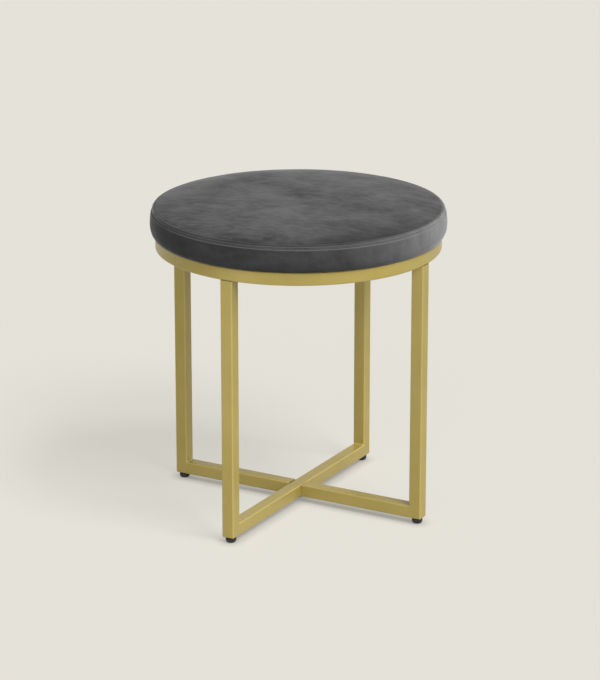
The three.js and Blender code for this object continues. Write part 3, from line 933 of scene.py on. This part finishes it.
def cover_stations():
    """Points up the cover: where, which way is out, and how far from a seam, from the hem's end
    and past each seam."""
    fine = [outside(i / cover_samples) for i in range(cover_samples + 1)]
    lengths = [0.0]
    for before, after in zip(fine, fine[1:]):
        lengths.append(lengths[-1] + math.dist(before, after))
    seams = [lengths[cover_samples * part // cover_parts] for part in (3, 4)]
    found, at = [], 0.0
    for i in range(1, cover_samples):
        apart = min(abs(lengths[i] - seam) for seam in seams)
        if lengths[i] >= at:
            at = lengths[i] + next(step for near, step in cover_steps if apart < near)
            rise = Vector(fine[i + 1]) - Vector(fine[i - 1])
            out = Vector((rise.y, -rise.x)).normalized()
            past = [lengths[i] - seam for seam in seams]
            found.append((Vector(fine[i]), out, apart, lengths[i], past))
    return found


def seam_shape(past_low, past_high):
    """How far the cover stands out by its seams: a groove with the band puffed up under it at
    the lower one, and a soft crease at the upper one."""
    groove = math.exp(-(past_low / seam_width) ** 2)
    puff = math.exp(-((past_low + seam_puff_reach) / (seam_puff_reach / 2)) ** 2)
    crease = math.exp(-(past_high / crease_width) ** 2)
    return seam_puff * puff - seam_depth * groove - crease_depth * crease


def swelling(stations):
    """How unevenly a copy of the case swells when it is blown up like a stuffed cushion, for each
    station and facet. Its seams and what lies below the board's top are held."""
    middle = Vector((0, 0, (cover_low.z + crown_top) / 2))
    case = lathed([(0, cover_low.z), *((r, h + cover_low.z) for r, h in
                   (outside(i / case_rows) for i in range(case_rows))), (0, crown_top)],
                  case_facets)
    for corner in case.vertices:
        spot = corner.co / swell_width
        wander = Vector([noise.noise(spot + Vector((0, 0, apart))) for apart in wander_slices])
        corner.co = middle + (corner.co - middle) * case_scale + wander * case_wander
    even = placed(case)
    remesh = even.modifiers.new("even", "REMESH")
    remesh.mode = "VOXEL"
    remesh.voxel_size = case_voxel
    blown = placed(evaluated(even))
    held = blown.vertex_groups.new(name="held")
    seams = [(low_seam_radius, cover_low.z + low_seam_height),
             (high_seam_radius, cover_low.z + high_seam_height)]
    starts = [corner.co.copy() for corner in blown.data.vertices]
    for i, start in enumerate(starts):
        spot = middle + (start - middle) / case_scale
        apart = min(math.dist((spot.xy.length, spot.z), seam) for seam in seams)
        if apart < seam_grip or spot.z < board_high.z:
            held.add([i], 1, "REPLACE")
    cloth = blown.modifiers.new("stuffing", "CLOTH")
    cloth.settings.use_pressure = True
    cloth.settings.uniform_pressure_force = stuffing_pressure
    cloth.settings.effector_weights.gravity = 0
    cloth.settings.vertex_group_mass = held.name
    for step in range(1, stuffing_frames + 1):
        bpy.context.scene.frame_set(step)
    ends = [corner.co.copy() for corner in evaluated(blown).vertices]
    bpy.context.scene.frame_set(1)
    nearest = KDTree(len(starts))
    for i, start in enumerate(starts):
        nearest.insert(middle + (start - middle) / case_scale, i)
    nearest.balance()
    uneven = []
    for point, out, *_ in stations:
        pushed = []
        for turn in around(cushion_facets):
            across = Vector((math.cos(turn), math.sin(turn)))
            spot = (*(across * point.x), point.y + cover_low.z)
            facing = Vector((*(across * out.x), out.y))
            near = nearest.find_n(spot, case_neighbours)
            weights = [1 / (gap + case_voxel / 2) for _, _, gap in near]
            moves = [(ends[k] - starts[k]).dot(facing) for _, k, _ in near]
            pushed.append(sum(w * m for w, m in zip(weights, moves)) / sum(weights))
        mean = sum(pushed) / len(pushed)
        uneven.append([max(-swell_cap, min(swell_cap, push - mean)) for push in pushed])
    return uneven


# The measured outline already holds the mean swell, so only its unevenness is added to it
stations = cover_stations()
uneven = swelling(stations)
cover_rings = []
for (point, out, apart, length, past), pushes in zip(stations, uneven):
    free = min(1, max(0, (length - hem_width) / hem_freedom))
    held = 1 - math.exp(-(apart / seam_hold) ** 2)
    near = math.exp(-apart / pucker_reach)
    ring = []
    for turn, push in zip(around(cushion_facets), pushes):
        spot = Vector((math.cos(turn) * point.x, math.sin(turn) * point.x, point.y))
        level = Vector((spot.x, spot.y, pucker_slice * pucker_spacing))
        gathers = noise.noise(level / pucker_spacing)
        finer = noise.noise(spot / swell_width * small_swells_finer)
        swells = noise.noise(spot / swell_width) + small_swells * finer
        off = seam_shape(*past) + free * held * (
            pucker_depth * near * gathers + swell_depth * swells + push)
        radius = point.x + out.x * off
        ring.append((radius * math.cos(turn), radius * math.sin(turn),
                     cover_low.z + point.y + out.y * off))
    cover_rings.append(ring)

# Its lining wraps the board, and ends at the hem
foam_low = board_high.z + board_play
wrap_radius = board_high.x + board_play
hem_top = cover_low.z + cover_thickness
lining = [level_ring(radius, height, cushion_facets) for radius, height in (
    *((r, foam_low) for r in (*lining_radii, wrap_radius)),
    (wrap_radius, hem_top), (hem_inner, hem_top), (hem_inner, cover_low.z))]
cushion_mesh = skinned([*lining, *cover_rings, [(0, 0, crown_top)]])

layer = cushion_mesh.attributes.new("from_seam", "FLOAT", "POINT")
lining_points = sum(len(ring) for ring in lining)
for i in range(len(cushion_mesh.vertices)):
    row = (i - lining_points) // cushion_facets
    on_cover = i >= lining_points and row < len(stations)
    low, high = map(abs, stations[row][4]) if on_cover else (1, 1)
    layer.data[i].value = min(low, high + crease_offset)

# Short-pile velvet: a dark ground under a pile that turns pale where it is seen at a slant. The
# brushed pile lies in streaks one way and in larger patches, and is pressed pale by the seams, a
# line that is also a painted highlight. Light and shade are painted into its colour: the side's
# ground is painted darker than the top's, the right of the side is painted pale where the light
# falls, a band over the front edge of the top is painted dark, and a painted shadow runs where the
# cover turns under.
short_pile_velvet, tree, place = finish_tree("short_pile_velvet")
nap = add_node(
    tree, "Mapping",
    {"Rotation": (0, 0, -nap_turn), "Scale": (brush_stretch, 1, 1), "Vector": place})
streaks = add_node(
    tree, "TexNoise", {"Scale": 1 / brush_width, "Detail": 3, "Roughness": 0.6, "Vector": nap})
patches = add_node(tree, "TexNoise", {"Scale": 1 / patch_width, "Detail": 2, "Vector": place})
clouds = add_node(tree, "TexNoise", {"Scale": 1 / cloud_width, "Detail": 2, "Vector": place})
brushed = add_node(tree, "Mix FLOAT", {"Factor": 0.45, 2: streaks, 3: patches})
lying = add_node(tree, "Mix FLOAT", {"Factor": 0.35, 2: brushed, 3: clouds})
shade = add_node(tree, "MapRange", {"From Min": 0.38, "From Max": 0.62, "Value": lying})
height = add_node(tree, "SeparateXYZ", {0: place}).outputs["Z"]
on_side = add_node(
    tree, "MapRange",
    {"From Min": cover_low.z + high_seam_height,
     "From Max": cover_low.z + high_seam_height - side_blend, "Value": height})


def toward_side(turn, nearest, furthest, most):
    """How far a place lies toward one side of the seat."""
    reach = add_node(tree, "VectorMath DOT_PRODUCT", {0: place, 1: from_side(turn, 0)})
    return add_node(
        tree, "MapRange",
        {"From Min": nearest, "From Max": furthest, "To Max": most, "Value": reach})


top_tone = add_node(tree, "Mix RGBA", {0: shade, 6: velvet_deep_hex, 7: velvet_hex})
# Painted shade: a band over the front edge of the top is mixed toward the deep colour
top_with_rim_shade = add_node(
    tree, "Mix RGBA",
    {0: toward_side(rim_shade_turn, rim_shade_from, rim_shade_to, rim_shade_most), 6: top_tone, 7: velvet_deep_hex})
# Painted shade: the side band's ground is mixed darker than the top's, over a narrower range
calm_shaded_side = add_node(tree, "MapRange", {"To Min": 0.12, "To Max": 0.46, "Value": shade})
# Painted light: the right of the side band is made paler, in soft upright mottles
upright = add_node(tree, "Mapping", {"Scale": (1, 1, 1 / lit_mottle_height), "Vector": place})
lit_mottles = add_node(tree, "TexNoise", {"Scale": 1 / lit_mottle_width, "Detail": 2, "Vector": upright})
lit_mottled = add_node(
    tree, "MapRange",
    {"From Min": 0.3, "From Max": 0.7, "To Min": 0.75, "To Max": 1.15, "Value": lit_mottles})
gathered = add_node(
    tree, "Math POWER",
    {0: toward_side(lit_side_turn, lit_side_from, lit_side_to, 1), 1: lit_side_gather})
painted_lit_side = add_node(tree, "Math MULTIPLY", {"use_clamp": True, 0: gathered, 1: lit_mottled})
shaded_side_tone = add_node(tree, "Mix RGBA", {0: calm_shaded_side, 6: velvet_deep_hex, 7: velvet_hex})
side_colour = add_node(tree, "Mix RGBA", {0: painted_lit_side, 6: shaded_side_tone, 7: velvet_lit_side_hex})
# Painted shadow: the lowest edge of the cover is mixed toward near-black
hem_shade = add_node(
    tree, "MapRange",
    {"From Min": cover_low.z + hem_shade_from, "From Max": cover_low.z + hem_shade_to, "Value": height})
with_hem_shade = add_node(tree, "Mix RGBA", {0: hem_shade, 6: side_colour, 7: velvet_shadow_hex})
cover_colour = add_node(tree, "Mix RGBA", {0: on_side, 6: top_with_rim_shade, 7: with_hem_shade})
from_seam = add_node(tree, "Attribute", {"attribute_name": "from_seam"})
# Along the seams the pile is painted pale: pressed pile and a painted highlight
ridge_highlight_in = add_node(
    tree, "MapRange",
    {"From Min": seam_width, "From Max": seam_width * 1.8, "Value": from_seam.outputs["Fac"]})
ridge_highlight_out = add_node(
    tree, "MapRange",
    {"From Min": seam_width * 2, "From Max": seam_width * 3.6, "To Min": 0.5, "To Max": 0,
     "Value": from_seam.outputs["Fac"]})
ridge_highlight = add_node(tree, "Math MULTIPLY", {0: ridge_highlight_in, 1: ridge_highlight_out})
pressed_and_highlit = add_node(tree, "Mix RGBA", {0: ridge_highlight, 6: cover_colour, 7: velvet_pressed_highlight_hex})
pile = add_node(tree, "TexNoise", {"Scale": 1 / pile_width, "Detail": 1, "Vector": place})
lean = add_node(tree, "Bump", {"Strength": 0.35, "Distance": 0.002, "Height": brushed})
tufts = add_node(
    tree, "Bump", {"Strength": 0.3, "Distance": 0.0004, "Height": pile, "Normal": lean})
end_finish(
    tree,
    {"Roughness": 0.9, "Specular IOR Level": 0.1, "Sheen Weight": 0.85, "Sheen Roughness": 0.3,
     "Sheen Tint": sheen_hex, "Base Color": pressed_and_highlit, "Normal": tufts})

cushion_mesh.shade_smooth()
velvet_cushion = kept("velvet_cushion", cushion_mesh, short_pile_velvet,
                      ["foam_pad", "cover_side_band", "cover_shoulder", "cover_top_panel"])


# Seam stitches: grey polyester thread that closes the lower seam, a small stitch every few
# millimetres, drawn down into the groove so that only the top of each one shows.
stitch_spacing = 0.004
stitch_length = 0.0028
thread_width = 0.0007
stitch_sunk = seam_depth * 0.5
thread_hex = "8f8f92"

# Spun polyester thread: pale grey and a little glossy along each stitch
spun_thread, tree, place = finish_tree("spun_polyester_thread")
twist = add_node(tree, "TexNoise", {"Scale": 1 / thread_width, "Detail": 1, "Vector": place})
tone = add_node(tree, "Mix RGBA", {0: twist, 6: velvet_hex, 7: thread_hex})
end_finish(
    tree, {"Roughness": 0.6, "Sheen Weight": 0.3, "Sheen Roughness": 0.4, "Base Color": tone})

stitch = bmesh.new()
bmesh.ops.create_uvsphere(stitch, u_segments=6, v_segments=4, radius=0.5, matrix=(
    Matrix.Translation((low_seam_radius - stitch_sunk, 0, cover_low.z + low_seam_height)) @
    Matrix.Diagonal((thread_width, stitch_length, thread_width, 1))))
stitch_count = round(2 * math.pi * low_seam_radius / stitch_spacing)
set_round("seam_stitches", mesh_of(stitch), stitch_count, 0, spun_thread)


# Dust cover: a disc of black spunbonded cloth, stretched under the seat board and stapled over
# the hem of the velvet. It sags a little in the middle and is holed for the seat's bolts.
disc_low, disc_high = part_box("dust_cover")
disc_radius = disc_high.x
disc_facets = 96
disc_rows = 24
disc_sag = 0.0022
sag_ripple = 0.3
ripples_per_metre = 22
sag_reach = 0.152
bolt_clearance = 0.0036
staple_count = 24
staple_reach = 0.1852
staple_crown = 0.0095
staple_wire = 0.0006
staple_leg = 0.0022
crown_width = 0.0012
staple_edge = staple_wire / 5
bond_spacing = 0.003
fibres_per_metre = 900
spunbond_hex = "1c1c1d"
bond_hex = "2c2c2e"

# Spunbonded polypropylene: matt black felt with rows of small welded points, that are in truth
# about a millimetre apart and are drawn coarser so that they show
spunbond, tree, place = finish_tree("spunbonded_polypropylene")
points = add_node(
    tree, "TexVoronoi",
    {"voronoi_dimensions": "2D", "Scale": 1 / bond_spacing, "Randomness": 0.25, "Vector": place})
bonds = add_node(tree, "MapRange", {"From Min": 0.15, "From Max": 0.4, "Value": points})
fibres = add_node(tree, "TexNoise", {"Scale": fibres_per_metre, "Detail": 3, "Vector": place})
tone = add_node(tree, "Mix RGBA", {0: fibres, 6: spunbond_hex, 7: bond_hex})
emboss = add_node(tree, "Bump", {"Strength": 0.5, "Distance": 0.0003, "Height": bonds})
end_finish(
    tree, {"Roughness": 0.85, "Specular IOR Level": 0.3, "Base Color": tone, "Normal": emboss})

disc_steps = [disc_radius * i / disc_rows for i in range(1, disc_rows + 1)]
disc = lathed([(0, disc_low.z), *((r, disc_low.z) for r in disc_steps),
               *((r, disc_high.z) for r in reversed(disc_steps)), (0, disc_high.z)], disc_facets)
for corner in disc.vertices:
    out = corner.co.xy.length
    if out < sag_reach:
        slack = (1 - (out / sag_reach) ** 2) ** 2
        ripple = 1 + sag_ripple * noise.noise(corner.co * ripples_per_metre)
        corner.co.z -= disc_sag * slack * ripple
bolt_holes = bmesh.new()
for step in around(lug_count):
    turn = first_lug + step
    add_cylinder(bolt_holes, bolt_clearance, disc_low.z - overrun, disc_high.z + overrun,
                 hole_facets, (bolt_reach * math.cos(turn), bolt_reach * math.sin(turn)))
dust_disc = kept("dust_cover_cloth", shaded(cut_away(disc, mesh_of(bolt_holes))), spunbond,
                 ["dust_cover"])

# Its staples: flat galvanised wire, one between each pair of bolt and lug places
staple = bmesh.new()
crown_low = disc_low.z - staple_wire
add_block(staple, (staple_reach - crown_width / 2, -staple_crown / 2, crown_low),
          (staple_reach + crown_width / 2, staple_crown / 2, disc_low.z))
for end in (-1, 1):
    leg = end * (staple_crown - staple_wire) / 2
    add_block(staple, (staple_reach - crown_width / 2, leg - staple_wire / 2, disc_low.z),
              (staple_reach + crown_width / 2, leg + staple_wire / 2, disc_low.z + staple_leg))
bmesh.ops.bevel(staple, geom=staple.edges[:], offset=staple_edge, segments=1, affect="EDGES")
set_round("dust_cover_staples", mesh_of(staple), staple_count, math.pi / staple_count,
          zinc_plated_steel)


# Seat bolts: four M6 button-head screws, that come up through the ring's lugs and the dust
# cover into the tee nuts of the seat board, each with a washer under its head.
under_low, under_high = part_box("seat_washer_front")
set_round(
    "seat_screws", button_screw(bolt_low.z, bolt_high.z, bolt_reach), lug_count, first_lug,
    zinc_plated_steel, [f"seat_bolt_{side}" for side in lug_sides])
set_round(
    "seat_screw_washers", washer(under_low.z, under_high.z, washer_high.x, bolt_reach), lug_count,
    first_lug, zinc_plated_steel, [f"seat_washer_{side}" for side in lug_sides])
